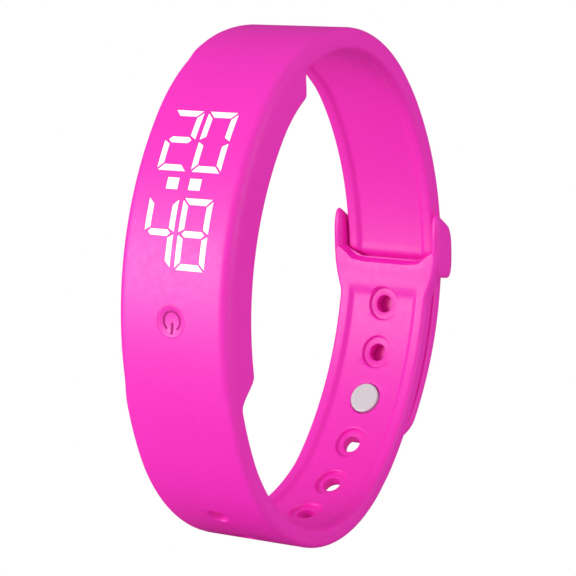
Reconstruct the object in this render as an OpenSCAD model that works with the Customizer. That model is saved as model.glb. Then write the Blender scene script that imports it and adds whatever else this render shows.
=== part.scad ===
// Fitness tracker band: a closed silicone bracelet with a hidden LED tracker pod.
// X runs across the band, -Y is the display, +Y is the clasp and +Z is up.
// The origin is on the wrist's axis, midway across the band.

/* [Band] */
// Height of the closed band from bottom to top
band_height = 68.4; // [64:0.2:76]
// Outside radius of the band over the display
front_radius = 43.8; // [40:0.2:50]
// Outside radius of the band over the top
top_radius = 24.6; // [22:0.2:27]
// Outside radius of the band at the clasp
back_radius = 39; // [36:0.2:44]
// Outside radius of the band under the display
bottom_radius = 24.2; // [22:0.2:27]
// Outside radius where the lower strap turns in under the tail
heel_radius = 22.3; // [21:0.1:23]
// Width of the band at the display
band_width = 17; // [15:0.5:20]
// Width of the straps at the clasp
strap_width = 14.2; // [13:0.2:16]
// Thickness of the upper strap
upper_thickness = 2.8; // [2.2:0.1:3.4]
// Thickness of the lower strap
lower_thickness = 2.4; // [2:0.1:3]
// Width of the raised rim along each inner edge
rim_width = 1.5; // [1:0.1:2]
// Depth of the channel between the rims
channel_depth = 0.4; // [0.2:0.05:0.6]

/* [Display sleeve] */
// Thickness of the band over the tracker pod
sleeve_thickness = 6; // [5.6:0.1:7]
// Silicone skin over the pod
skin_thickness = 1.3; // [0.9:0.1:1.6]
// Direction that the upper end of the sleeve faces
sleeve_top = 127; // [124:1:130]
// Direction that the lower end of the sleeve faces
sleeve_bottom = 197; // [195:1:202]
// Width of the tracker pod
pod_width = 14; // [12.5:0.5:15]
// Reach of the pod above its middle
pod_reach_up = 13.4; // [12:0.2:14]
// Reach of the pod below its middle
pod_reach_down = 19.3; // [18.8:0.1:19.6]
// Clearance between the pod and its pocket
pod_gap = 0.05; // [0.03:0.01:0.15]
// Direction that the middle of the pod faces
pod_middle = 163; // [160:1:166]

/* [Pod] */
// Wall of the pod case
case_wall = 0.7; // [0.5:0.1:1]
// Thickness of the cover against the wrist
cover_thickness = 0.75; // [0.6:0.05:1]
// Thickness of the rubber seal under the cover
seal_thickness = 0.25; // [0.2:0.05:0.4]
// Thickness of a circuit board
board_thickness = 0.4; // [0.3:0.05:0.6]
// Thickness of the light mask behind the digits
mask_thickness = 0.6; // [0.4:0.05:0.8]
// Thickness of the battery
battery_thickness = 1.25; // [1:0.05:1.4]
// Distance from the side of the battery to the side of the pod
battery_side = 1.75; // [1.2:0.05:3]
// Radius of the vibration motor
motor_radius = 2.7; // [2.3:0.1:3]
// Thickness of the vibration motor
motor_thickness = 1.5; // [1.3:0.05:1.6]
// Radius of a charging contact
contact_radius = 1; // [0.7:0.1:1.4]
// Radius of a cover screw's shank
screw_radius = 0.4; // [0.3:0.05:0.5]
// Radius of a cover screw's head
screw_head_radius = 0.75; // [0.6:0.05:0.8]

/* [Display] */
// Height of a digit along the band
digit_height = 8.7; // [8:0.1:10]
// Width of a digit across the band
digit_width = 4.5; // [3.6:0.1:4.6]
// Width of one light segment
segment_width = 0.8; // [0.7:0.05:1.1]
// Gap between two digits
digit_gap = 0.7; // [0.5:0.1:1.6]
// Gap between two light segments
segment_gap = 0.16; // [0.1:0.02:0.3]
// Side of a colon square
colon_size = 1.7; // [1.2:0.1:2]
// Gap between a colon square and the digits above and below it
colon_gap = 0.85; // [0.6:0.05:1.2]
// Direction that the top of the upper digits faces
display_top = 149.4; // [148:0.2:151]
// Depth of the light segments in the skin
segment_depth = 1.2; // [0.8:0.05:1.25]

/* [Power key] */
// Radius of the power key
key_radius = 2.1; // [1.8:0.1:2.3]
// Direction that the power key faces
key_direction = 185.6; // [184:0.2:186.4]
// Depth of the key's face below the skin
key_recess = 0.25; // [0.1:0.05:0.4]
// Travel of the key
key_travel = 0.3; // [0.2:0.05:0.4]
// Clearance round the key
key_gap = 0.08; // [0.05:0.01:0.12]

/* [Clasp] */
// Number of holes in the lower strap
hole_count = 9; // [8:1:10]
// Distance between two holes along the strap
hole_pitch = 6.8; // [6.4:0.1:7.2]
// Radius of a strap hole
hole_radius = 1.25; // [1:0.05:1.5]
// Radius of the recess round a strap hole
recess_radius = 2.25; // [1.9:0.05:2.4]
// Depth of the recess round a strap hole
recess_depth = 0.45; // [0.3:0.05:0.6]
// Direction that the hole nearest the loop faces
first_hole = 355.4; // [354:0.2:356]
// Which hole the stud is in, counted from the loop as 0
stud_hole = 2; // [1:1:3]
// Radius of the stud's head
stud_head_radius = 2.1; // [1.6:0.05:2.2]
// Radius of the stud's post
stud_post_radius = 1.15; // [0.9:0.05:1.2]
// Thickness of the stud's head
stud_head_thickness = 0.7; // [0.5:0.05:0.9]
// Radius of the stud's base inside the tail
stud_base_radius = 2.4; // [2:0.1:3]
// Thickness of the tail
tail_thickness = 1.9; // [1.6:0.1:2.2]
// Clearance between the tail and the lower strap
tail_gap = 0.15; // [0.1:0.01:0.25]
// Direction that the tail's tip faces
tail_tip = -36.5; // [-38:0.5:-34]
// Direction of the hinge line where the tail bends
tail_root = 2; // [1:0.5:3]
// Radius of the corners of the tail's tip
tip_radius = 5; // [3:0.2:6]
// Wall of the keeper loop
loop_wall = 1.5; // [1.2:0.1:1.8]
// Clearance between the strap and the loop
loop_gap = 0.2; // [0.15:0.01:0.3]

/* [Hidden] */
$fn = 240;
far = 60;
loop_direction = 8;
arc_overlap = 0.15;
arc_step = 0.01;
facet_turn = 1.5;
// Where the taper from the display's width to the straps' width starts and ends along Y
taper_start = -9;
taper_end = 16;

function dir(a) = [cos(a), sin(a)];
function arc_at(path, a) = [for (arc = path) if (a >= arc[2] && a <= arc[3]) arc][0];
function spot(path, a, depth) = arc_at(path, a)[0] + dir(a) * (arc_at(path, a)[1] - depth);
function degrees(length, radius) = length / radius * 180 / PI;
function millimetres(angle, radius) = angle * PI / 180 * radius;

// The closed outline is a chain of tangent arcs, each [centre, radius, from, to].
top_centre = [0, band_height / 2 - top_radius];
front_turn = asin(top_centre[1] / (front_radius - top_radius));
back_turn = asin(top_centre[1] / (back_radius - top_radius));
front_centre = [(front_radius - top_radius) * cos(front_turn), 0];
back_centre = [-(back_radius - top_radius) * cos(back_turn), 0];
centre_span = front_centre[0] - back_centre[0];
to_front = front_radius - bottom_radius;
to_back = back_radius - bottom_radius;
along_span = (to_back * to_back - to_front * to_front + centre_span * centre_span) / (2 * centre_span);
bottom_centre = [back_centre[0] + along_span, -sqrt(to_back * to_back - along_span * along_span)];
bottom_turn = atan2(-bottom_centre[1], front_centre[0] - bottom_centre[0]);
outer_path = [
    [back_centre, back_radius, -60, back_turn],
    [top_centre, top_radius, back_turn, 180 - front_turn],
    [front_centre, front_radius, 180 - front_turn, 180 + bottom_turn]];

// The display and what lies behind it follow the front arc alone.
pod_from = 138;
pod_to = 205;
display_path = [[front_centre, front_radius, pod_from, pod_to]];

// The lower strap leaves the outline at the bottom, and its rear arc runs inside the tail.
heel_centre = bottom_centre + dir(270) * (bottom_radius - heel_radius);
rear_face = back_centre[0] + back_radius - tail_thickness - tail_gap;
rear_reach = rear_face - heel_centre[0];
rear_radius = (rear_reach * rear_reach + heel_centre[1] * heel_centre[1] - heel_radius * heel_radius)
    / (2 * (rear_reach - heel_radius));
rear_centre = [rear_face - rear_radius, 0];
heel_end = 360 + atan2(heel_centre[1], heel_centre[0] - rear_centre[0]);
lower_path = [
    [front_centre, front_radius, 180 - front_turn, 180 + bottom_turn],
    [bottom_centre, bottom_radius, 180 + bottom_turn, 270],
    [heel_centre, heel_radius, 270, heel_end],
    [rear_centre, rear_radius, heel_end, 380]];
lip_end = 365.6;

// Holes are spaced along the strap's inner face, over its rear, heel and bottom arcs.
rear_run = millimetres(first_hole - heel_end, rear_radius - lower_thickness);
heel_run = millimetres(heel_end - 270, heel_radius - lower_thickness);
function hole_direction(run) =
    run <= rear_run ? first_hole - degrees(run, rear_radius - lower_thickness)
    : run <= rear_run + heel_run ? heel_end - degrees(run - rear_run, heel_radius - lower_thickness)
    : 270 - degrees(run - rear_run - heel_run, bottom_radius - lower_thickness);

// Depths inside the pod, from the band's outer face towards the wrist
case_top = skin_thickness + pod_gap;
case_floor = case_top + case_wall;
cover_top = sleeve_thickness - cover_thickness;
case_rim = cover_top - seal_thickness;
mask_top = case_floor + 0.02;
board_top = mask_top + mask_thickness + 0.3;
pad_thickness = 0.1;
battery_top = board_top + board_thickness + pad_thickness;
main_top = 3.55;
display_end = 177.6;
board_start = 148.5;
main_start = 179.4;
motor_direction = 153.2;
motor_top = board_top + board_thickness + 0.13;
motor_wall = 0.15;
battery_start = 158.6;
battery_end = display_end - 0.5;
battery_width = pod_width - 2 * battery_side;
main_side = 2.7;
main_width = pod_width - 2 * main_side;
tab_top = battery_top + 0.4;
tab_thickness = 0.15;
tab_width = 1.2;
tab_side = 2.5;
screw_side = pod_width / 2 - 1.6;
screw_top = 145.4;
screw_bottom = 188.5;
screw_head_thickness = 0.35;
boss_radius = 1;
contact_direction = 186;
contact_side = 2.6;
contact_lift = 0.3;
case_wall_x = pod_width / 2 - case_wall;
digit_x = digit_gap / 2 + digit_width / 2;
stud_direction = hole_direction(stud_hole * hole_pitch);
floor_depth = lower_thickness - channel_depth;
switch_half = 1.25;
plunger_radius = 0.55;
plunger_top = skin_thickness - 0.1 + key_travel + 0.03;
plunger_length = 0.95;
stud_base_thickness = 0.5;
stud_base_lift = 0.2;
stud_base_start = tail_gap + stud_base_lift + stud_base_thickness;

// Side view: the drawing plane's X is the band's Y, its Y is up, and its Z is across the band.
module side_view() {
    rotate([90, 0, 90])
        children();
}

// A slab that follows a path between two directions, from one depth to another.
// Every second arc is a hair thicker and runs on into its neighbours, so that the stretch is one solid.
module along(path, from, to, top, bottom, width, middle = 0) {
    for (i = [0 : len(path) - 1]) {
        arc = path[i];
        odd = i % 2;
        start = max(from, arc[2] - odd * arc_overlap);
        end = min(to, arc[3] + odd * arc_overlap);
        if (end > start + 0.01)
            translate([arc[0][0], arc[0][1], 0])
                rotate([0, 0, start])
                    rotate_extrude(angle = end - start)
                        translate([arc[1] - bottom - odd * arc_step, middle - width / 2])
                            square([bottom - top + 2 * odd * arc_step, width]);
    }
}

// The same slab as one prism of short flat facets, for a stretch that crosses several arcs.
module ribbon(path, from, to, top, bottom, width) {
    steps = ceil((to - from) / facet_turn);
    turns = [for (i = [0 : steps]) from + (to - from) * i / steps];
    translate([0, 0, -width / 2])
        linear_extrude(height = width)
            polygon(concat([for (turn = turns) spot(path, turn, top)],
                [for (i = [steps : -1 : 0]) spot(path, turns[i], bottom)]));
}

// Stands on the outline with X pointing to the wrist and Y along the band.
module facing(path, direction, depth) {
    point = spot(path, direction, depth);
    translate([point[0], point[1], 0])
        rotate([0, 0, direction + 180])
            children();
}

module inward_cylinder(radius, length) {
    rotate([0, 90, 0])
        cylinder(r = radius, h = length);
}

// Keeps what lies inside the band's plan, which narrows from the display to the clasp.
module taper() {
    wide = band_width / 2;
    narrow = strap_width / 2;
    translate([0, 0, -far])
        linear_extrude(height = 2 * far)
            polygon([[-wide, -far], [wide, -far], [wide, taper_start], [narrow, taper_end], [narrow, far],
                [-narrow, far], [-narrow, taper_end], [-wide, taper_start]]);
}

// Box that the pod slides out of, square to the direction of its pull
module pod_box(extra) {
    facing(outer_path, pod_middle, 0)
        translate([-2, -pod_reach_down - extra, -far])
            cube([far, pod_reach_up + pod_reach_down + 2 * extra, 2 * far]);
}

module display_sleeve() {
    color("deeppink")
        side_view()
            difference() {
                along(outer_path, sleeve_top, sleeve_bottom, 0, sleeve_thickness, band_width);
                intersection() {
                    along(display_path, pod_from, pod_to, skin_thickness, sleeve_thickness + 2,
                        pod_width + 2 * pod_gap);
                    pod_box(pod_gap);
                }
                all_segments(0.5);
                facing(outer_path, key_direction, -1)
                    inward_cylinder(key_radius + key_gap, skin_thickness + 1.2);
            }
}

module strap_upper() {
    color("deeppink")
        intersection() {
            side_view()
                difference() {
                    ribbon(outer_path, tail_root + 0.4, sleeve_top, 0, upper_thickness, band_width);
                    ribbon(outer_path, tail_root - 2, loop_direction + 6, tail_thickness, upper_thickness + 1,
                        band_width + 1);
                    ribbon(outer_path, loop_direction + 12, sleeve_top - 3, upper_thickness - channel_depth,
                        upper_thickness + 1, strap_width - 2 * rim_width);
                }
            taper();
        }
}

module strap_lower() {
    color("deeppink")
        intersection() {
            side_view()
                difference() {
                    ribbon(lower_path, sleeve_bottom, lip_end, 0, lower_thickness, band_width);
                    ribbon(lower_path, sleeve_bottom + 4, 360, floor_depth, lower_thickness + 1,
                        strap_width - 2 * rim_width);
                    for (i = [0 : hole_count - 1])
                        strap_hole(hole_direction(i * hole_pitch));
                }
            taper();
        }
}

module strap_hole(direction) {
    facing(lower_path, direction, -0.5) {
        inward_cylinder(hole_radius, lower_thickness + 1);
        translate([0.5 + floor_depth - recess_depth, 0, 0])
            inward_cylinder(recess_radius, recess_depth + 1);
    }
}

module keeper_loop() {
    width = strap_width + 2 * (loop_gap + loop_wall);
    outer = -loop_gap - loop_wall;
    inner = tail_thickness + tail_gap + lower_thickness;
    color("deeppink")
        side_view()
            difference() {
                facing(outer_path, loop_direction, 0)
                    translate([0, 0, -width / 2])
                        linear_extrude(height = width)
                            polygon([[outer, 3.6], [outer + 0.8, 4.8], [outer + 2, 5], [inner - 2, 2.6],
                                [inner, -1.5], [inner, -4.9], [inner - 3, -3.4], [outer + 0.7, -2],
                                [outer, -0.6]]);
                along(outer_path, -10, 40, -loop_gap, upper_thickness + loop_gap, strap_width + 2 * loop_gap);
                along(lower_path, 340, 380, -tail_gap, far / 4, strap_width);
            }
}

module strap_tail() {
    color("deeppink")
        intersection() {
            side_view()
                difference() {
                    along(outer_path, tail_tip, tail_root, 0, tail_thickness + 1, strap_width);
                    translate([rear_centre[0], rear_centre[1], -far])
                        cylinder(r = rear_radius + tail_gap, h = 2 * far, $fn = 200);
                    facing(lower_path, stud_direction, -stud_base_start) {
                        inward_cylinder(stud_base_radius, stud_base_thickness);
                        inward_cylinder(stud_post_radius, tail_thickness + 1);
                    }
                }
            tail_outline();
        }
}

// Front view of the tail, with round corners at its tip
module tail_outline() {
    tip = spot(outer_path, tail_tip, 0);
    half = strap_width / 2;
    translate([0, far, tip[1]])
        rotate([90, 0, 0])
            linear_extrude(height = 2 * far) {
                translate([-half, tip_radius])
                    square([strap_width, far]);
                translate([tip_radius - half, 0])
                    square([strap_width - 2 * tip_radius, far]);
                for (side = [-1, 1])
                    translate([side * (half - tip_radius), tip_radius])
                        circle(r = tip_radius);
            }
}

// The stud's post runs from its base in the tail to a flat head in the hole's recess.
module clasp_stud() {
    head_top = floor_depth - recess_depth + 0.05;
    start = -tail_gap - stud_base_lift;
    color("silver")
        side_view()
            facing(lower_path, stud_direction, 0) {
                translate([start, 0, 0])
                    inward_cylinder(stud_post_radius, head_top - start);
                translate([head_top, 0, 0])
                    inward_cylinder(stud_head_radius, stud_head_thickness);
            }
}

module stud_base() {
    color("silver")
        side_view()
            facing(lower_path, stud_direction, -stud_base_start)
                inward_cylinder(stud_base_radius, stud_base_thickness);
}

module power_key() {
    color("hotpink")
        side_view()
            facing(outer_path, key_direction, key_recess)
                inward_cylinder(key_radius, skin_thickness - key_recess - 0.1);
}

// One light segment as a patch of the band: from and to run down the band in millimetres.
module segment(from, to, left, right, lift) {
    start = display_top + degrees(from, front_radius);
    end = display_top + degrees(to, front_radius);
    along(display_path, start, end, -lift, segment_depth, right - left, (left + right) / 2);
}

// Seven segments in order: top, upper left, upper right, middle, lower left, lower right, bottom
module digit(lit, top, middle_x, lift) {
    left = middle_x - digit_width / 2;
    right = middle_x + digit_width / 2;
    half = digit_height / 2;
    s = segment_width;
    g = segment_gap;
    boxes = [
        [0, s, left, right],
        [s + g, half - s / 2 - g, left, left + s],
        [s + g, half - s / 2 - g, right - s, right],
        [half - s / 2, half + s / 2, left, right],
        [half + s / 2 + g, digit_height - s - g, left, left + s],
        [half + s / 2 + g, digit_height - s - g, right - s, right],
        [digit_height - s, digit_height, left, right]];
    for (i = [0 : 6])
        if (lit[i] == 1)
            segment(top + boxes[i][0], top + boxes[i][1], boxes[i][2], boxes[i][3], lift);
}

module all_segments(lift) {
    colon_top = digit_height + colon_gap;
    second_row = colon_top + colon_size + colon_gap;
    digit([1, 0, 1, 1, 1, 0, 1], 0, -digit_x, lift);
    digit([1, 1, 1, 0, 1, 1, 1], 0, digit_x, lift);
    digit([0, 1, 1, 1, 0, 1, 0], second_row, -digit_x, lift);
    digit([1, 1, 1, 1, 1, 1, 1], second_row, digit_x, lift);
    for (side = [-1, 1])
        segment(colon_top, colon_top + colon_size, side * colon_size - colon_size / 2,
            side * colon_size + colon_size / 2, lift);
}

module digit_segments() {
    color("white")
        side_view()
            all_segments(0);
}

module pod_case() {
    color("dimgray")
        side_view()
            difference() {
                intersection() {
                    along(display_path, pod_from, pod_to, case_top, case_rim, pod_width);
                    pod_box(0);
                }
                difference() {
                    intersection() {
                        along(display_path, pod_from, pod_to, case_floor, sleeve_thickness, 2 * case_wall_x);
                        pod_box(-case_wall);
                    }
                    screw_places(case_floor - 0.1)
                        inward_cylinder(boss_radius, sleeve_thickness);
                }
                screw_places(case_floor + 0.5)
                    inward_cylinder(screw_radius, sleeve_thickness);
                along(display_path, board_start + 0.5, display_end - 0.5, case_top - 1, case_floor + 1,
                    2 * digit_x + digit_width + 0.6);
                facing(outer_path, key_direction, case_top - 1)
                    inward_cylinder(key_radius + key_gap, case_wall + 2);
            }
}

module pod_cover() {
    color("gray")
        side_view()
            difference() {
                intersection() {
                    along(display_path, pod_from, pod_to, cover_top, sleeve_thickness, pod_width);
                    pod_box(0);
                }
                for (side = [-1, 1])
                    contact_place(side)
                        inward_cylinder(contact_radius, far / 10);
                screw_places(cover_top - 1)
                    inward_cylinder(screw_radius, far / 10);
                screw_places(sleeve_thickness - screw_head_thickness)
                    inward_cylinder(screw_head_radius, far / 10);
            }
}

module cover_seal() {
    color("black")
        side_view()
            difference() {
                intersection() {
                    along(display_path, pod_from, pod_to, case_rim, cover_top, pod_width - 0.2);
                    pod_box(-0.1);
                }
                intersection() {
                    along(display_path, pod_from, pod_to, case_rim - 1, cover_top + 1, 2 * case_wall_x);
                    pod_box(-case_wall);
                }
            }
}

module light_mask() {
    color("black")
        side_view()
            difference() {
                along(display_path, board_start, display_end, mask_top, mask_top + mask_thickness,
                    2 * case_wall_x - 0.2);
                all_windows();
            }
}

// One square window for each light behind the digits
module all_windows() {
    for (row = [0 : 5])
        for (column = [-1.5 : 1 : 1.5])
            facing(display_path, led_direction(row), mask_top - 1)
                translate([0, 0, column * led_pitch])
                    cube([mask_thickness + 2, 1.3, 1.3], center = true);
}

led_pitch = 2.7;
function led_direction(row) = display_top + 2.2 + row * (display_end - display_top - 4) / 5;

module led_chips() {
    color("lightyellow")
        side_view()
            for (row = [0 : 5])
                for (column = [-1.5 : 1 : 1.5])
                    facing(display_path, led_direction(row), board_top - 0.25)
                        translate([0, -0.4, column * led_pitch - 0.4])
                            cube([0.25, 0.8, 0.8]);
}

module display_board() {
    color("green")
        side_view()
            along(display_path, board_start, display_end, board_top, board_top + board_thickness,
                2 * case_wall_x - 0.2);
}

module battery_pad() {
    color("white")
        side_view()
            along(display_path, battery_start + 0.5, battery_end - 0.5, battery_top - pad_thickness,
                battery_top, battery_width - 1);
}

module battery() {
    color("silver")
        side_view()
            along(display_path, battery_start, battery_end, battery_top, battery_top + battery_thickness,
                battery_width);
}

module battery_tabs() {
    color("gold")
        side_view()
            for (side = [-1, 1])
                along(display_path, battery_end, main_start, tab_top, tab_top + tab_thickness, tab_width,
                    side * tab_side);
}

module main_board() {
    color("green")
        side_view()
            intersection() {
                along(outer_path, main_start, sleeve_bottom, main_top, main_top + board_thickness, main_width);
                pod_box(-case_wall - 0.1);
            }
}

module control_chip() {
    color("black")
        side_view()
            facing(outer_path, main_start + 2.6, main_top + board_thickness)
                translate([0.02, -1.5, -3.6])
                    cube([0.75, 3, 3]);
}

module motion_sensor() {
    color("black")
        side_view()
            facing(outer_path, main_start + 2.6, main_top + board_thickness)
                translate([0.02, -1, 1.2])
                    cube([0.7, 2, 2]);
}

module tact_switch() {
    color("silver")
        side_view()
            facing(outer_path, key_direction, skin_thickness + 0.8)
                difference() {
                    translate([0, -switch_half, -switch_half])
                        cube([main_top - skin_thickness - 0.82, 2 * switch_half, 2 * switch_half]);
                    translate([-1, 0, 0])
                        inward_cylinder(plunger_radius + 0.05, 1 + 0.9);
                }
}

module switch_plunger() {
    color("white")
        side_view()
            facing(outer_path, key_direction, plunger_top)
                inward_cylinder(plunger_radius, plunger_length);
}

module motor_place() {
    facing(display_path, motor_direction, motor_top)
        children();
}

module motor_can() {
    color("silver")
        side_view()
            motor_place()
                difference() {
                    inward_cylinder(motor_radius, motor_thickness);
                    translate([motor_wall, 0, 0])
                        inward_cylinder(motor_radius - motor_wall, motor_thickness - 2 * motor_wall);
                }
}

module motor_shaft() {
    color("silver")
        side_view()
            motor_place()
                translate([motor_wall, 0, 0])
                    inward_cylinder(0.35, motor_thickness - 2 * motor_wall);
}

module motor_weight() {
    color("gray")
        side_view()
            motor_place()
                translate([motor_wall + 0.15, 0, 0])
                    rotate([0, 90, 0])
                        difference() {
                            union() {
                                cylinder(r = 0.8, h = motor_thickness - 2 * motor_wall - 0.3);
                                intersection() {
                                    cylinder(r = motor_radius - motor_wall - 0.2,
                                        h = motor_thickness - 2 * motor_wall - 0.3);
                                    translate([0, -far / 2, 0])
                                        cube([far, far, far]);
                                }
                            }
                            translate([0, 0, -1])
                                cylinder(r = 0.4, h = far);
                        }
}

module contact_place(side) {
    facing(outer_path, contact_direction, cover_top - contact_lift)
        translate([0, 0, side * contact_side])
            children();
}

module charging_contacts() {
    color("gold")
        side_view()
            for (side = [-1, 1])
                contact_place(side)
                    inward_cylinder(contact_radius, contact_lift + cover_thickness);
}

// Four places at the pod's corners, at a depth
module screw_places(depth) {
    for (side = [-1, 1])
        for (direction = [screw_top, screw_bottom])
            facing(display_path, direction, depth)
                translate([0, 0, side * screw_side])
                    children();
}

module cover_screws() {
    shank_top = case_floor + 0.6;
    color("silver")
        side_view() {
            screw_places(shank_top)
                inward_cylinder(screw_radius, sleeve_thickness - screw_head_thickness / 2 - shank_top);
            screw_places(sleeve_thickness - screw_head_thickness)
                inward_cylinder(screw_head_radius, screw_head_thickness);
        }
}

display_sleeve();
strap_upper();
strap_lower();
keeper_loop();
strap_tail();
clasp_stud();
stud_base();
power_key();
digit_segments();
pod_case();
pod_cover();
cover_seal();
light_mask();
led_chips();
display_board();
battery();
battery_pad();
battery_tabs();
main_board();
control_chip();
motion_sensor();
tact_switch();
switch_plunger();
motor_can();
motor_shaft();
motor_weight();
charging_contacts();
cover_screws();
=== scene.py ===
import math

import bmesh
import bpy
from mathutils import Matrix, Vector


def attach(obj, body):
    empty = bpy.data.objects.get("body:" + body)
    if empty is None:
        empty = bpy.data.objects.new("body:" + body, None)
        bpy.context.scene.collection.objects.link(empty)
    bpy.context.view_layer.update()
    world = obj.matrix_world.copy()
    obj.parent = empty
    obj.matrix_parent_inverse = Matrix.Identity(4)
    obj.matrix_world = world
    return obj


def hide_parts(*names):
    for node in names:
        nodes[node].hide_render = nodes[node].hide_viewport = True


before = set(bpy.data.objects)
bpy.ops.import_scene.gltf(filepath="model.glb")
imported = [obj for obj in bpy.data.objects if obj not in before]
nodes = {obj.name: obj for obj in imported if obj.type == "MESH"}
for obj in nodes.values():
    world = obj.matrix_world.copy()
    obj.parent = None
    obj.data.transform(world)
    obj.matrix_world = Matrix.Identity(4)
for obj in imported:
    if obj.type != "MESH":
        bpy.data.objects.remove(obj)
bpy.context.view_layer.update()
print("frame loaded,", len(nodes), "nodes")

mm = 0.001

# Arcs of the closed band: centre along Y, centre up, outer radius, first turn, last turn
backArc = (-10.7331, 0.0, 39.0)
topArc = (0.0, 9.6, 24.6)
frontArc = (16.6277, 0.0, 43.8)
bottomArc = (-0.0702, -10.2636, 24.2)
heelArc = (-0.0702, -12.1636, 22.3)
rearArc = (-16.6309, 0.0, 42.8477)

bandRoute = [
    backArc + (2.4, 41.81),
    topArc + (41.81, 150.0),
    frontArc + (150.0, 211.58),
    bottomArc + (211.58, 270.0),
    heelArc + (270.0, 323.703),
    rearArc + (323.703, 364.2),
]
tailRoute = [backArc + (-36.5, 2.2)]


def smooth(low, high, value):
    share = min(1.0, max(0.0, (value - low) / (high - low)))
    return share * share * (3 - 2 * share)


def onArc(arc, turn, depth):
    reach = arc[2] - depth
    angle = math.radians(turn)
    return arc[0] + reach * math.cos(angle), arc[1] + reach * math.sin(angle)


def onRoute(route, turn, depth):
    arc = next((a for a in route if turn <= a[4] + 1e-6), route[-1])
    return onArc(arc, turn, depth)


# Stands on an arc: X across the band, Y towards the band's top end, Z out of its face
def facingMatrix(arc, turn, depth):
    y, z = onArc(arc, turn, depth)
    angle = math.radians(turn)
    s, c = math.sin(angle), math.cos(angle)
    rows = Matrix(((1, 0, 0, 0), (0, s, c, y * mm), (0, -c, s, z * mm), (0, 0, 0, 1)))
    return rows


def finishMesh(mesh, name, sharpTurn=35):
    bmesh.ops.remove_doubles(mesh, verts=mesh.verts, dist=1e-7)
    bmesh.ops.recalc_face_normals(mesh, faces=mesh.faces)
    data = bpy.data.meshes.new(name)
    mesh.to_mesh(data)
    mesh.free()
    data.polygons.foreach_set("use_smooth", [True] * len(data.polygons))
    data.set_sharp_from_angle(angle=math.radians(sharpTurn))
    piece = bpy.data.objects.new(name, data)
    bpy.context.scene.collection.objects.link(piece)
    return piece


def cutAway(piece, cutter, sharpTurn=35):
    step = piece.modifiers.new("cut", "BOOLEAN")
    step.object = cutter
    step.operation = "DIFFERENCE"
    step.solver = "EXACT"
    graph = bpy.context.evaluated_depsgraph_get()
    cut = bpy.data.meshes.new_from_object(piece.evaluated_get(graph))
    piece.modifiers.clear()
    piece.data = cut
    cut.polygons.foreach_set("use_smooth", [True] * len(cut.polygons))
    cut.set_sharp_from_angle(angle=math.radians(sharpTurn))
    bpy.data.objects.remove(cutter)


# Spins a ring of points along a route, then sets each point from the section at its turn
def sweptStrip(name, route, sectionAt, count, stepTurn):
    mesh = bmesh.new()
    around = mesh.verts.layers.int.new("around")
    turnOf = mesh.verts.layers.float.new("turn")
    first = route[0]
    bmesh.ops.create_circle(mesh, segments=count, radius=0.5)
    angle = math.radians(first[3])
    for number, v in enumerate(mesh.verts):
        v[around] = number
        v[turnOf] = first[3]
        reach = first[2] + v.co.y
        v.co = (v.co.x, first[0] + reach * math.cos(angle), first[1] + reach * math.sin(angle))
    ring = mesh.verts[:] + mesh.edges[:]
    for arc in route:
        known = set(mesh.verts)
        spread = arc[4] - arc[3]
        made = bmesh.ops.spin(
            mesh,
            geom=ring,
            cent=(0, arc[0], arc[1]),
            axis=(1, 0, 0),
            angle=math.radians(spread),
            steps=max(2, round(spread / stepTurn)),
            use_merge=False,
            use_duplicate=False,
        )
        ring = made["geom_last"]
        for v in mesh.verts:
            if v not in known:
                turn = math.degrees(math.atan2(v.co.z - arc[1], v.co.y - arc[0]))
                while turn < arc[3] - 0.01:
                    turn += 360
                v[turnOf] = turn
    known = {}
    for v in mesh.verts:
        key = round(v[turnOf], 3)
        if key not in known:
            known[key] = sectionAt(v[turnOf])
        v.co = Vector(known[key][v[around]]) * mm
    edges = [e for e in mesh.edges if len(e.link_faces) == 1]
    bmesh.ops.holes_fill(mesh, edges=edges, sides=0)
    return mesh


# Half section of a strap from the middle of its outer face round to the middle of its inner face
def halfSection(half, thick, outerRound, innerRound, rim, channel):
    points = [((half - outerRound) * share, 0.0) for share in (0.06, 0.3, 0.55, 0.8, 0.94)]
    for i in range(9):
        a = math.radians(90 * i / 8)
        points.append((half - outerRound + outerRound * math.sin(a), outerRound - outerRound * math.cos(a)))
    low, high = outerRound, thick - innerRound
    points += [(half, low + (high - low) * share) for share in (0.15, 0.5, 0.85)]
    for i in range(7):
        a = math.radians(90 * i / 6)
        points.append((half - innerRound + innerRound * math.cos(a), thick - innerRound + innerRound * math.sin(a)))
    edge = half - max(rim, innerRound + 0.15)
    for i in range(7):
        share = i / 6
        points.append((edge - 0.8 * share, thick - channel * share * share * (3 - 2 * share)))
    floor = edge - 0.8
    points += [(floor * share, thick - channel) for share in (0.9, 0.6, 0.3, 0.06)]
    return points


def wholeSection(points):
    return points + [(-x, d) for x, d in reversed(points)]


bandShape = {
    "wideHalf": 8.5,
    "narrowHalf": 7.1,
    "taperStart": -9.0,
    "taperEnd": 16.0,
    "sleeve": 6.0,
    "upper": 2.8,
    "inLoop": 1.9,
    "lower": 2.4,
    "rim": 1.5,
    "channel": 0.42,
    "stepTurn": 0.75,
}


def halfWidth(y):
    s = bandShape
    share = min(1.0, max(0.0, (y - s["taperStart"]) / (s["taperEnd"] - s["taperStart"])))
    return s["wideHalf"] + (s["narrowHalf"] - s["wideHalf"]) * share


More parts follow.
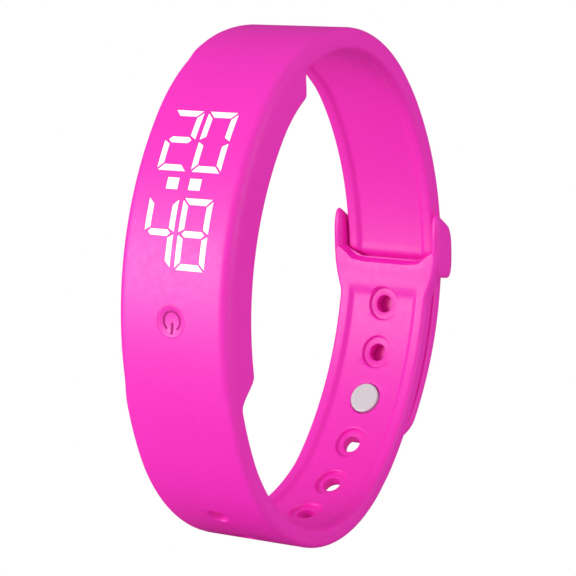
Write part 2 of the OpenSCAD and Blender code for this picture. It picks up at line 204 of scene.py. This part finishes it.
def bandSection(turn):
    s = bandShape
    into, out = smooth(123.0, 128.6, turn), smooth(196.2, 201.0, turn)
    thick = s["inLoop"] + (s["upper"] - s["inLoop"]) * smooth(4.6, 6.8, turn)
    thick = thick + (s["sleeve"] - thick) * into
    thick = thick + (s["lower"] - thick) * out
    upperPart = smooth(5.0, 7.5, turn) * (1 - smooth(118.0, 122.0, turn))
    lowerPart = smooth(202.0, 206.0, turn) * (1 - smooth(356.6, 359.0, turn))
    channel = s["channel"] * max(upperPart, lowerPart)
    bulk = into * (1 - out)
    outerRound = 0.95 + 0.5 * bulk
    innerRound = 0.55 + 0.35 * bulk
    y, z = onRoute(bandRoute, turn, 0)
    half = halfWidth(y)
    if turn > 300:  # the lip's end and its corners are rounded
        left = math.radians(364.2 - turn) * 42.8
        share = 1 - min(1.0, left / 0.9)
        half += 1.3 * smooth(356.8, 362.6, turn) - 0.3 * share
    points = wholeSection(halfSection(half, thick, outerRound, innerRound, s["rim"], channel))
    squeeze = 1.0
    if turn > 300:
        squeeze = math.sqrt(max(0.0016, 1 - share * share))
    placed = []
    for x, depth in points:
        depth = thick / 2 + (depth - thick / 2) * squeeze
        if turn > 345:  # the lip's corners curve up into the loop's sides
            rise = 3.0 * smooth(4.6, 8.2, abs(x)) * smooth(358.5, 364.2, turn)
            y, z = onArc(rearArc, turn + rise, depth)
        else:
            y, z = onRoute(bandRoute, turn, depth)
        placed.append((x, y, z))
    return placed


pointCount = len(wholeSection(halfSection(8, 3, 1, 0.5, 1.5, 0.4)))
bandPiece = finishMesh(
    sweptStrip("band_silicone", bandRoute, bandSection, pointCount, bandShape["stepTurn"]),
    "band_silicone",
)
print("band swept,", len(bandPiece.data.polygons), "faces")

tailShape = {
    "tipTurn": -36.5,
    "thick": 1.9,
    "cornerRadius": 5.0,
    "endRound": 0.8,
    "edgeRound": 0.8,
}


def tailSection(turn):
    s = tailShape
    spread = tailRoute[0][4] - s["tipTurn"]
    share = (turn - s["tipTurn"]) / spread
    turn = s["tipTurn"] + spread * (share**1.7 if share < 1 else 1)
    fromTip = math.radians(turn - s["tipTurn"]) * 39
    y, z = onRoute(tailRoute, turn, 0)
    half = halfWidth(y)
    corner = s["cornerRadius"]
    if fromTip < corner:
        half = half - corner + math.sqrt(max(0.0, corner**2 - (corner - fromTip) ** 2))
    end = max(0.0, 1 - fromTip / s["endRound"])
    squeeze = math.sqrt(max(0.0016, 1 - end * end))
    half = max(0.5, half - s["endRound"] * (1 - squeeze) * 0.3)
    edge = min(s["edgeRound"], half * 0.6)
    thick = s["thick"]
    # The tail's inner face follows the lower strap, so it is a little thicker towards the tip
    innerY, innerZ = onRoute(tailRoute, turn, thick)
    gone = math.hypot(innerY - rearArc[0], innerZ - rearArc[1]) - rearArc[2] - 0.15
    thick = thick + max(-0.4, min(0.5, gone))
    placed = []
    for x, depth in wholeSection(halfSection(half, thick, edge, 0.4, 1.0, 0.0)):
        depth = thick / 2 + (depth - thick / 2) * squeeze
        y, z = onRoute(tailRoute, turn, depth)
        placed.append((x, y, z))
    return placed


tailPiece = finishMesh(
    sweptStrip("tail_silicone", tailRoute, tailSection, pointCount, 0.4), "tail_silicone"
)

loopShape = {
    "turn": 8.0,
    "wall": 1.5,
    "gap": 0.2,
    "strapHalf": 7.1,
    "innerDepth": 4.3,
    "corner": 2.3,
    "upOuter": -1.7,
    "upInner": 0.9,
    "heightOuter": 6.4,
    "heightInner": 9.4,
    "sections": 28,
    "steps": 120,
}


# The loop's middle line: how far along it, across the band and the depth, with the way it faces
def loopLine(share):
    s = loopShape
    side = s["strapHalf"] + s["gap"] + s["wall"] / 2 - 0.1
    top = -s["gap"] - s["wall"] / 2
    r = s["corner"]
    leg = s["innerDepth"] - top - r
    quarter = math.pi / 2 * r
    flat = 2 * (side - r)
    run = share * (2 * leg + 2 * quarter + flat)
    if run < leg:
        return side, s["innerDepth"] - run, 1.0, 0.0
    run -= leg
    if run < quarter:
        a = run / r
        return side - r + r * math.cos(a), top + r - r * math.sin(a), math.cos(a), -math.sin(a)
    run -= quarter
    if run < flat:
        return side - r - run, top, 0.0, -1.0
    run -= flat
    if run < quarter:
        a = math.pi / 2 + run / r
        return -side + r + r * math.cos(a), top + r - r * math.sin(a), math.cos(a), -math.sin(a)
    run -= quarter
    return -side, top + r + run, -1.0, 0.0


def makeLoop():
    s = loopShape
    mesh = bmesh.new()
    around = mesh.verts.layers.int.new("around")
    bmesh.ops.create_circle(mesh, segments=s["sections"], radius=0.5)
    for number, v in enumerate(mesh.verts):
        v[around] = number
        v.co = (v.co.x + 5, 0, v.co.y)
    bmesh.ops.spin(
        mesh,
        geom=mesh.verts[:] + mesh.edges[:],
        cent=(0, 0, 0),
        axis=(0, 0, 1),
        angle=math.pi,
        steps=s["steps"],
        use_merge=False,
        use_duplicate=False,
    )
    oy, oz = onArc(backArc, s["turn"], 0)
    angle = math.radians(s["turn"])
    cosTurn, sinTurn = math.cos(angle), math.sin(angle)
    for v in mesh.verts:
        share = math.atan2(v.co.y, v.co.x) / math.pi
        share = 1.0 if share < -0.5 else min(1.0, max(0.0, share))
        x, depth, nx, nd = loopLine(share)
        inward = (depth + 1.7) / 6.15
        middle = s["upOuter"] + (s["upInner"] - s["upOuter"]) * inward
        height = s["heightOuter"] + (s["heightInner"] - s["heightOuter"]) * inward
        ends = min(share, 1 - share) * 26
        squeeze = math.sqrt(max(0.002, 1 - max(0.0, 1 - ends / 1.0) ** 2))
        a = 2 * math.pi * v[around] / s["sections"]
        power = 0.75  # between an oval and a rectangle
        wide = math.copysign(abs(math.cos(a)) ** power, math.cos(a)) * s["wall"] / 2 * squeeze
        tall = math.copysign(abs(math.sin(a)) ** power, math.sin(a)) * height / 2 * squeeze
        x += nx * wide
        depth += nd * wide
        up = middle + tall
        v.co = Vector((x, oy - cosTurn * depth - sinTurn * up, oz - sinTurn * depth + cosTurn * up)) * mm
    edges = [e for e in mesh.edges if len(e.link_faces) == 1]
    bmesh.ops.holes_fill(mesh, edges=edges, sides=0)
    return finishMesh(mesh, "keeper_silicone", 50)


loopPiece = makeLoop()
print("tail and loop made")


# A closed turned shape from a profile of (radius, depth) pairs
def lathe(profile, steps=64):
    mesh = bmesh.new()
    points = [mesh.verts.new((radius * mm, 0, -depth * mm)) for radius, depth in profile]
    edges = [mesh.edges.new(pair) for pair in zip(points, points[1:])]
    bmesh.ops.spin(
        mesh,
        geom=points + edges,
        cent=(0, 0, 0),
        axis=(0, 0, 1),
        angle=2 * math.pi,
        steps=steps,
        use_merge=True,
        use_duplicate=False,
    )
    bmesh.ops.remove_doubles(mesh, verts=mesh.verts, dist=1e-7)
    return mesh


def addTo(target, source, matrix):
    source.transform(matrix)
    held = bpy.data.meshes.new("held")
    source.to_mesh(held)
    source.free()
    target.from_mesh(held)
    bpy.data.meshes.remove(held)


claspShape = {
    "holes": [
        rearArc + (355.4,),
        rearArc + (345.768,),
        rearArc + (336.135,),
        rearArc + (326.503,),
        heelArc + (309.815,),
        heelArc + (290.236,),
        heelArc + (270.658,),
        bottomArc + (252.728,),
        bottomArc + (234.856,),
    ],
    "studHole": 2,
    "holeProfile": [
        (0, -1.5), (1.62, -1.5), (1.6, -0.03), (1.45, 0.03), (1.32, 0.14), (1.26, 0.3), (1.25, 0.5),
        (1.25, 1.52), (1.3, 1.55), (2.15, 1.55), (2.2, 1.6), (2.21, 1.8), (2.25, 1.92), (2.33, 2.0),
        (2.45, 2.05), (2.47, 3.6), (0, 3.6),
    ],
    "studProfile": [
        (0, -0.35), (1.15, -0.35), (1.15, 1.6), (2.01, 1.6), (2.08, 1.64), (2.1, 1.72), (2.1, 2.18),
        (2.08, 2.25), (2.01, 2.29), (1.9, 2.3), (1.2, 2.31), (0, 2.31),
    ],
}

keyShape = {
    "turn": 185.6,
    "wellProfile": [(0, -1), (2.2, -1), (2.18, -0.03), (2.13, 0.02), (2.11, 0.08), (2.11, 2), (0, 2)],
    "keyProfile": [
        (0, 0.3), (0.6, 0.29), (1.1, 0.25), (1.5, 0.18), (1.75, 0.1), (1.95, 0.04), (2.05, 0.03),
        (2.09, 0.05), (2.1, 0.1), (2.1, 1.2), (0, 1.2),
    ],
    "arcRadius": 1.25,
    "arcOpen": 76,
    "lineRadius": 0.14,
}

cutters = bmesh.new()
for hole in claspShape["holes"]:
    addTo(cutters, lathe(claspShape["holeProfile"], 48), facingMatrix(hole[:3], hole[3], 0))
addTo(cutters, lathe(keyShape["wellProfile"], 72), facingMatrix(frontArc, keyShape["turn"], 0))
cutAway(bandPiece, finishMesh(cutters, "holeCutter"))
print("holes cut")

podShape = {
    "middle": 163.0,
    "up": 13.45,
    "down": 19.35,
    "half": 7.05,
    "skin": 1.3,
    "first": 138.0,
    "last": 205.0,
}


def makePocket():
    s = podShape
    mesh = bmesh.new()
    bmesh.ops.create_circle(mesh, segments=4, radius=1)
    angle = math.radians(s["first"])
    inner, outer = frontArc[2] - 8.5, frontArc[2] - s["skin"]
    corners = [(-s["half"], inner), (s["half"], inner), (s["half"], outer), (-s["half"], outer)]
    for v, (x, reach) in zip(mesh.verts, corners):
        v.co = Vector((x, frontArc[0] + reach * math.cos(angle), reach * math.sin(angle))) * mm
    bmesh.ops.spin(
        mesh,
        geom=mesh.verts[:] + mesh.edges[:],
        cent=(0, frontArc[0] * mm, 0),
        axis=(1, 0, 0),
        angle=math.radians(s["last"] - s["first"]),
        steps=90,
        use_merge=False,
        use_duplicate=False,
    )
    edges = [e for e in mesh.edges if len(e.link_faces) == 1]
    bmesh.ops.holes_fill(mesh, edges=edges, sides=0)
    place = facingMatrix(frontArc, s["middle"], 0)
    up = place.col[1].to_3d()
    origin = place.col[3].to_3d()
    for reach, way in ((s["up"], 1), (s["down"], -1)):
        bmesh.ops.bisect_plane(
            mesh,
            geom=mesh.verts[:] + mesh.edges[:] + mesh.faces[:],
            plane_co=origin + up * reach * way * mm,
            plane_no=up * way,
            clear_outer=True,
        )
        edges = [e for e in mesh.edges if len(e.link_faces) == 1]
        bmesh.ops.holes_fill(mesh, edges=edges, sides=0)
    return finishMesh(mesh, "pocketCutter")


cutAway(bandPiece, makePocket())
print("pocket cut")

digitShape = {
    "topTurn": 149.75,
    "heights": (8.4, 9.1),
    "rowTwo": 11.85,
    "width": 4.5,
    "gap": 0.7,
    "shift": -0.2,
    "stroke": 0.82,
    "split": 0.17,
    "colonTop": 9.3,
    "colonSize": (1.75, 1.5),
    "colonSpacing": 3.4,
    "colonShift": -0.4,
    "margin": 0.06,
    "figures": {"2": "1011101", "0": "1110111", "4": "0111010", "8": "1111111"},
}


# Outlines of the seven segments of one figure, across and down from its top left corner
def figureOutlines(lit, h):
    s = digitShape
    w, t, g = s["width"], s["stroke"], s["split"]
    m = h / 2
    top = [(g, 0), (w - g, 0), (w - t - g, t), (t + g, t)]
    upper = [(0, 1.6 * g), (t, t + 1.2 * g), (t, m - t / 2 - 1.2 * g), (0, m - g)]
    middle = [
        (t * 0.45 + g, m), (t + g, m - t / 2), (w - t - g, m - t / 2), (w - t * 0.45 - g, m),
        (w - t - g, m + t / 2), (t + g, m + t / 2),
    ]
    across = [(w - x, y) for x, y in reversed(upper)]
    lower = [(x, h - y) for x, y in reversed(upper)]
    lowerAcross = [(w - x, h - y) for x, y in upper]
    bottom = [(x, h - y) for x, y in reversed(top)]
    shapes = [top, upper, across, middle, lower, lowerAcross, bottom]
    return [shape for shape, on in zip(shapes, lit) if on == "1"]


def displayOutlines():
    s = digitShape
    left, right = s["shift"] - s["gap"] / 2 - s["width"], s["shift"] + s["gap"] / 2
    places = [("2", left, 0), ("0", right, 0), ("4", left, 1), ("8", right, 1)]
    shapes = []
    for figure, x0, row in places:
        for shape in figureOutlines(s["figures"][figure], s["heights"][row]):
            shapes.append([(x + x0, y + row * s["rowTwo"]) for x, y in shape])
    wide, tall = s["colonSize"]
    top = s["colonTop"]
    for side in (-0.5, 0.5):
        x0 = s["colonShift"] + side * s["colonSpacing"] - wide / 2
        shapes.append([(x0, top), (x0 + wide, top), (x0 + wide, top + tall), (x0, top + tall)])
    return shapes


# Moves each side of an outline out by a distance
def widened(shape, distance):
    count = len(shape)
    area = sum(shape[i][0] * shape[(i + 1) % count][1] - shape[(i + 1) % count][0] * shape[i][1] for i in range(count))
    sign = 1 if area > 0 else -1
    result = []
    for i in range(count):
        before, here, after = Vector(shape[i - 1]), Vector(shape[i]), Vector(shape[(i + 1) % count])
        a, b = (here - before).normalized(), (after - here).normalized()
        na, nb = Vector((a.y, -a.x)) * sign, Vector((b.y, -b.x)) * sign
        spread = (na + nb) / (1 + na.dot(nb))
        result.append(tuple(here + spread * distance))
    return result


def segmentBlocks(distance, high, low, soften):
    s = digitShape
    whole = bmesh.new()
    for shape in displayOutlines():
        mesh = bmesh.new()
        face = mesh.faces.new([mesh.verts.new((x, y, 0)) for x, y in widened(shape, distance)])
        if soften:
            rim = bmesh.ops.inset_region(mesh, faces=[face], thickness=0.05, depth=0)
            for v in {v for f in rim["faces"] for v in f.verts if v.is_boundary}:
                v.co.z = -0.04
        lowest = min(v.co.y for v in mesh.verts)
        highest = max(v.co.y for v in mesh.verts)
        cuts = int((highest - lowest) / 0.6)
        for i in range(1, cuts + 1):
            bmesh.ops.bisect_plane(
                mesh,
                geom=mesh.verts[:] + mesh.edges[:] + mesh.faces[:],
                plane_co=(0, lowest + (highest - lowest) * i / (cuts + 1), 0),
                plane_no=(0, 1, 0),
            )
        base = mesh.faces[:]
        pushed = bmesh.ops.extrude_face_region(mesh, geom=base, use_keep_orig=True)
        for v in [g for g in pushed["geom"] if isinstance(g, bmesh.types.BMVert)]:
            v.co.z = -(low - high)
        for v in mesh.verts:
            turn = s["topTurn"] + math.degrees(v.co.y / frontArc[2])
            y, z = onArc(frontArc, turn, high - v.co.z)
            v.co = Vector((v.co.x, y, z)) * mm
        bmesh.ops.recalc_face_normals(mesh, faces=mesh.faces)
        addTo(whole, mesh, Matrix.Identity(4))
    return whole


cutAway(bandPiece, finishMesh(segmentBlocks(digitShape["margin"], -0.5, 0.3, False), "digitCutter"))
digitPiece = finishMesh(segmentBlocks(0.0, 0.03, 0.6, True), "light_digits")
print("digits made")

studPiece = finishMesh(lathe(claspShape["studProfile"], 72), "stud_steel")
studPlace = claspShape["holes"][claspShape["studHole"]]
studPiece.data.transform(facingMatrix(studPlace[:3], studPlace[3], 0))
keyPiece = finishMesh(lathe(keyShape["keyProfile"], 72), "key_silicone")
keyPiece.data.transform(facingMatrix(frontArc, keyShape["turn"], 0))


# The power mark: an arc open at the bottom and a bar, a dark magenta tube that stands in for the painted shade inside
# the engraved groove
def makeKeyMarkShade():
    s = keyShape
    mesh = bmesh.new()
    bmesh.ops.create_circle(mesh, segments=10, radius=s["lineRadius"] * mm)
    half = math.radians(s["arcOpen"] / 2)
    for v in mesh.verts:
        v.co = Vector((v.co.x + s["arcRadius"] * mm, 0, v.co.y * 0.8))
    bmesh.ops.rotate(mesh, verts=mesh.verts, cent=(0, 0, 0), matrix=Matrix.Rotation(-math.pi / 2 + half, 3, "Z"))
    bmesh.ops.spin(
        mesh,
        geom=mesh.verts[:] + mesh.edges[:],
        cent=(0, 0, 0),
        axis=(0, 0, 1),
        angle=2 * math.pi - 2 * half,
        steps=60,
        use_merge=False,
        use_duplicate=False,
    )
    bmesh.ops.translate(mesh, verts=mesh.verts, vec=(0, 0, -0.21 * mm))
    edges = [e for e in mesh.edges if len(e.link_faces) == 1]
    bmesh.ops.holes_fill(mesh, edges=edges, sides=0)
    bar = bmesh.new()
    bmesh.ops.create_cube(bar, size=1)
    bmesh.ops.scale(bar, verts=bar.verts, vec=(0.28 * mm, 1.5 * mm, 0.2 * mm))
    bmesh.ops.bevel(bar, geom=bar.edges[:], offset=0.06 * mm, segments=2, profile=0.5, affect="EDGES", material=-1)
    addTo(mesh, bar, Matrix.Translation((0, -0.95 * mm, -0.20 * mm)) @ Matrix.Rotation(-0.08, 4, "X"))
    mesh.transform(facingMatrix(frontArc, s["turn"], 0))
    return finishMesh(mesh, "key_mark_painted_shade")


keyMarkShade = makeKeyMarkShade()
print("stud and key made")


# Materials ---------------------------------------------------------------
def addNode(tree, kind, **values):
    made = tree.nodes.new(kind)
    for name, value in values.items():
        if hasattr(made, name):
            setattr(made, name, value)
        else:
            made.inputs[name.replace("_", " ")].default_value = value
    return made


# A finish from two colours, a grain that varies its gloss, and fine bumps
def finish(name, colour, second, rough, grain, bump, metal=0.0, glow=0.0, pattern="grain", specular=0.5):
    made = bpy.data.materials.new(name)
    made.use_nodes = True
    tree = made.node_tree
    shader = tree.nodes["Principled BSDF"]
    link = tree.links.new
    place = addNode(tree, "ShaderNodeTexCoord")
    spots = addNode(tree, "ShaderNodeTexNoise", Scale=grain, Detail=4.0)
    cloud = addNode(tree, "ShaderNodeTexNoise", Scale=grain * 0.06, Detail=2.0)
    fine = addNode(tree, "ShaderNodeTexNoise", Scale=grain * 3, Detail=2.0)
    source = place.outputs["Object"]
    if pattern == "brushed":
        stretch = addNode(tree, "ShaderNodeMapping")
        stretch.inputs["Scale"].default_value = (0.06, 1.0, 1.0)
        link(source, stretch.inputs["Vector"])
        source = stretch.outputs["Vector"]
    for texture in (spots, cloud, fine):
        link(source, texture.inputs["Vector"])
    mix = addNode(tree, "ShaderNodeMix", data_type="RGBA")
    mix.inputs[6].default_value = (*colour, 1)
    mix.inputs[7].default_value = (*second, 1)
    blend = addNode(tree, "ShaderNodeMath", operation="MULTIPLY")
    link(spots.outputs["Fac"], blend.inputs[0])
    link(cloud.outputs["Fac"], blend.inputs[1])
    spread = addNode(tree, "ShaderNodeMapRange")
    spread.inputs["From Min"].default_value = 0.12
    spread.inputs["From Max"].default_value = 0.42
    link(blend.outputs[0], spread.inputs["Value"])
    factor = spread.outputs["Result"]
    if pattern == "traces":
        lines = addNode(tree, "ShaderNodeTexBrick", Scale=grain * 0.16)
        lines.inputs["Color1"].default_value = (0, 0, 0, 1)
        lines.inputs["Color2"].default_value = (0.1, 0.1, 0.1, 1)
        lines.inputs["Mortar"].default_value = (1, 1, 1, 1)
        lines.inputs["Mortar Size"].default_value = 0.012
        link(place.outputs["Object"], lines.inputs["Vector"])
        factor = lines.outputs["Color"]
    link(factor, mix.inputs[0])
    link(mix.outputs[2], shader.inputs["Base Color"])
    gloss = addNode(tree, "ShaderNodeMapRange")
    gloss.inputs["To Min"].default_value = rough[0]
    gloss.inputs["To Max"].default_value = rough[1]
    link(spots.outputs["Fac"], gloss.inputs["Value"])
    link(gloss.outputs["Result"], shader.inputs["Roughness"])
    bumps = addNode(tree, "ShaderNodeBump", Strength=bump)
    bumps.inputs["Distance"].default_value = 0.00003
    link(fine.outputs["Fac"], bumps.inputs["Height"])
    link(bumps.outputs["Normal"], shader.inputs["Normal"])
    shader.inputs["Metallic"].default_value = metal
    shader.inputs["Specular IOR Level"].default_value = specular
    if glow:
        shader.inputs["Emission Color"].default_value = (1, 1, 1, 1)
        shader.inputs["Emission Strength"].default_value = glow
    return made


pink = (0.955, 0.007, 0.55)
pinkDeep = (0.93, 0.004, 0.51)
finishes = {
    "silicone": finish("pink_silicone", pink, pinkDeep, (0.42, 0.58), 1500, 0.25, specular=0.7),
    "key_silicone": finish("key_silicone", (0.94, 0.010, 0.53), (0.9, 0.006, 0.49), (0.4, 0.55), 1500, 0.2, specular=0.7),
    "stud_metal": finish("satin_stud", (0.74, 0.74, 0.745), (0.68, 0.68, 0.69), (0.45, 0.6), 3000, 0.25, 0.15, 0, "brushed"),
    "display_white": finish("lit_white", (0.96, 0.96, 0.97), (0.90, 0.90, 0.93), (0.4, 0.5), 1800, 0.1, 0, 0.25),
    "case_plastic": finish("case_plastic", (0.030, 0.031, 0.034), (0.045, 0.046, 0.05), (0.35, 0.5), 2500, 0.4),
    "cover_plastic": finish("cover_plastic", (0.055, 0.056, 0.06), (0.08, 0.081, 0.085), (0.3, 0.5), 2600, 0.45),
    "seal_rubber": finish("seal_rubber", (0.012, 0.012, 0.013), (0.02, 0.02, 0.021), (0.6, 0.8), 1800, 0.4),
    "mask_plastic": finish("mask_plastic", (0.015, 0.015, 0.016), (0.03, 0.03, 0.03), (0.5, 0.7), 2000, 0.3),
    "led_lens": finish("led_lens", (0.9, 0.86, 0.55), (0.8, 0.76, 0.5), (0.15, 0.25), 1500, 0.1),
    "board_green": finish("board_green", (0.008, 0.10, 0.035), (0.02, 0.2, 0.07), (0.3, 0.45), 2600, 0.2, 0, 0, "traces"),
    "battery_foil": finish("battery_foil", (0.62, 0.63, 0.65), (0.5, 0.51, 0.54), (0.25, 0.45), 900, 0.9, 0.85),
    "adhesive": finish("adhesive", (0.75, 0.74, 0.68), (0.66, 0.65, 0.6), (0.55, 0.7), 1500, 0.3),
    "contact_gold": finish("contact_gold", (0.86, 0.62, 0.26), (0.78, 0.53, 0.2), (0.2, 0.35), 3000, 0.2, 1.0),
    "chip_black": finish("chip_black", (0.02, 0.02, 0.022), (0.035, 0.035, 0.036), (0.4, 0.6), 3500, 0.5),
    "bright_metal": finish("bright_metal", (0.68, 0.68, 0.70), (0.58, 0.58, 0.6), (0.2, 0.38), 2600, 0.25, 1.0, 0, "brushed"),
    "plunger_white": finish("plunger_white", (0.78, 0.78, 0.76), (0.7, 0.7, 0.68), (0.35, 0.5), 2000, 0.2),
    "weight_metal": finish("weight_metal", (0.33, 0.33, 0.35), (0.25, 0.25, 0.27), (0.35, 0.5), 2200, 0.5, 0.95),
}
# Dark magenta painted shade for the engraved groove of the power mark
grooveShadeFinish = finish("painted_groove_shade", (0.55, 0.0, 0.26), (0.48, 0.0, 0.22), (0.5, 0.65), 2000, 0.2)


def dress(piece, material):
    piece.data.materials.clear()
    piece.data.materials.append(material)


slotOf = {
    "pod_case": "case_plastic",
    "pod_cover": "cover_plastic",
    "cover_seal": "seal_rubber",
    "light_mask": "mask_plastic",
    "led_chips": "led_lens",
    "display_board": "board_green",
    "main_board": "board_green",
    "battery": "battery_foil",
    "battery_pad": "adhesive",
    "battery_tabs": "contact_gold",
    "charging_contacts": "contact_gold",
    "control_chip": "chip_black",
    "motion_sensor": "chip_black",
    "tact_switch": "bright_metal",
    "switch_plunger": "plunger_white",
    "motor_can": "bright_metal",
    "motor_shaft": "bright_metal",
    "motor_weight": "weight_metal",
    "cover_screws": "bright_metal",
    "stud_base": "stud_metal",
}
for node, slotName in slotOf.items():
    dress(nodes[node], finishes[slotName])

newPieces = [
    (bandPiece, "band", "silicone", ("display_sleeve", "strap_upper", "strap_lower")),
    (loopPiece, "band", "silicone", ("keeper_loop",)),
    (digitPiece, "band", "display_white", ("digit_segments",)),
    (tailPiece, "tail", "silicone", ("strap_tail",)),
    (studPiece, "tail", "stud_metal", ("clasp_stud",)),
    (keyPiece, "key", "key_silicone", ("power_key",)),
]
for piece, body, slotName, stoodFor in newPieces:
    dress(piece, finishes[slotName])
    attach(piece, body)
    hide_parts(*stoodFor)
# The power mark takes the dark magenta painted groove shade
dress(keyMarkShade, grooveShadeFinish)
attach(keyMarkShade, "key")
print("materials set")

# Camera, light and floor --------------------------------------------------
cameraShape = {
    "azimuth": 33.0,
    "elevation": 3.319,
    "roll": 3.278,
    "distance": 338.12,
    "lens": 158.589,
    "shift": (-0.0051, -0.0080),
}


def addCamera():
    s = cameraShape
    a, e, r = (math.radians(s[k]) for k in ("azimuth", "elevation", "roll"))
    back = Vector((math.sin(a) * math.cos(e), -math.cos(a) * math.cos(e), math.sin(e)))
    right = Vector((math.cos(a), math.sin(a), 0))
    up = back.cross(right)
    turnedRight = right * math.cos(r) + up * math.sin(r)
    turnedUp = up * math.cos(r) - right * math.sin(r)
    lens = bpy.data.cameras.new("camera")
    lens.sensor_width = 36
    lens.lens = s["lens"]
    lens.shift_x, lens.shift_y = s["shift"]
    lens.clip_start, lens.clip_end = 0.01, 20
    camera = bpy.data.objects.new("camera", lens)
    camera.matrix_world = Matrix.Translation(back * s["distance"] * mm) @ Matrix(
        (turnedRight, turnedUp, back)
    ).transposed().to_4x4()
    bpy.context.scene.collection.objects.link(camera)
    bpy.context.scene.camera = camera


def addLight(name, azimuth, elevation, distance, size, power):
    a, e = math.radians(azimuth), math.radians(elevation)
    way = Vector((math.sin(a) * math.cos(e), -math.cos(a) * math.cos(e), math.sin(e)))
    lamp = bpy.data.lights.new(name, "AREA")
    lamp.shape = "DISK"
    lamp.size = size
    lamp.energy = power
    light = bpy.data.objects.new(name, lamp)
    light.matrix_world = Matrix.Translation(way * distance) @ way.to_track_quat("Z", "Y").to_matrix().to_4x4()
    bpy.context.scene.collection.objects.link(light)


addCamera()
lightShape = {
    "front": (-33, 0, 0.6, 0.22, 2.5),
    "side": (85, 12, 0.6, 0.35, 0.5),
    "top": (0, 80, 0.6, 0.4, 0.1),
}
for name, values in lightShape.items():
    addLight(name, *values)


def addWorld():
    world = bpy.data.worlds.new("studio")
    bpy.context.scene.world = world
    world.use_nodes = True
    tree = world.node_tree
    tree.nodes.clear()
    output = tree.nodes.new("ShaderNodeOutputWorld")
    seen = addNode(tree, "ShaderNodeBackground")
    seen.inputs["Color"].default_value = (1, 1, 1, 1)
    seen.inputs["Strength"].default_value = 1.0
    around = addNode(tree, "ShaderNodeBackground")
    around.inputs["Color"].default_value = (1, 1, 1, 1)
    path = tree.nodes.new("ShaderNodeLightPath")
    dim = addNode(tree, "ShaderNodeMapRange")  # reflections see a darker room, so the sheen stays on the front
    dim.inputs["To Min"].default_value = 0.72
    dim.inputs["To Max"].default_value = 0.04
    tree.links.new(path.outputs["Is Glossy Ray"], dim.inputs["Value"])
    tree.links.new(dim.outputs["Result"], around.inputs["Strength"])
    mix = tree.nodes.new("ShaderNodeMixShader")
    tree.links.new(path.outputs["Is Camera Ray"], mix.inputs["Fac"])
    tree.links.new(around.outputs[0], mix.inputs[1])
    tree.links.new(seen.outputs[0], mix.inputs[2])
    tree.links.new(mix.outputs[0], output.inputs["Surface"])


def addFloor():
    mesh = bmesh.new()
    bmesh.ops.create_grid(mesh, x_segments=4, y_segments=4, size=3)
    bmesh.ops.translate(mesh, verts=mesh.verts, vec=(0, 0, -0.036))
    floor = finishMesh(mesh, "floor")
    paint = bpy.data.materials.new("floor_white")
    paint.use_nodes = True
    tree = paint.node_tree
    shader = tree.nodes["Principled BSDF"]
    shader.inputs["Base Color"].default_value = (0.85, 0.85, 0.85, 1)
    shader.inputs["Roughness"].default_value = 0.9
    glow = tree.nodes.new("ShaderNodeEmission")
    glow.inputs["Strength"].default_value = 1.0
    path = tree.nodes.new("ShaderNodeLightPath")
    mix = tree.nodes.new("ShaderNodeMixShader")
    tree.links.new(path.outputs["Is Camera Ray"], mix.inputs["Fac"])
    tree.links.new(shader.outputs[0], mix.inputs[1])
    tree.links.new(glow.outputs[0], mix.inputs[2])
    tree.links.new(mix.outputs[0], tree.nodes["Material Output"].inputs["Surface"])
    dress(floor, paint)
    floor.visible_glossy = False


addWorld()
addFloor()
bpy.context.scene.view_settings.view_transform = "Standard"

print("done")
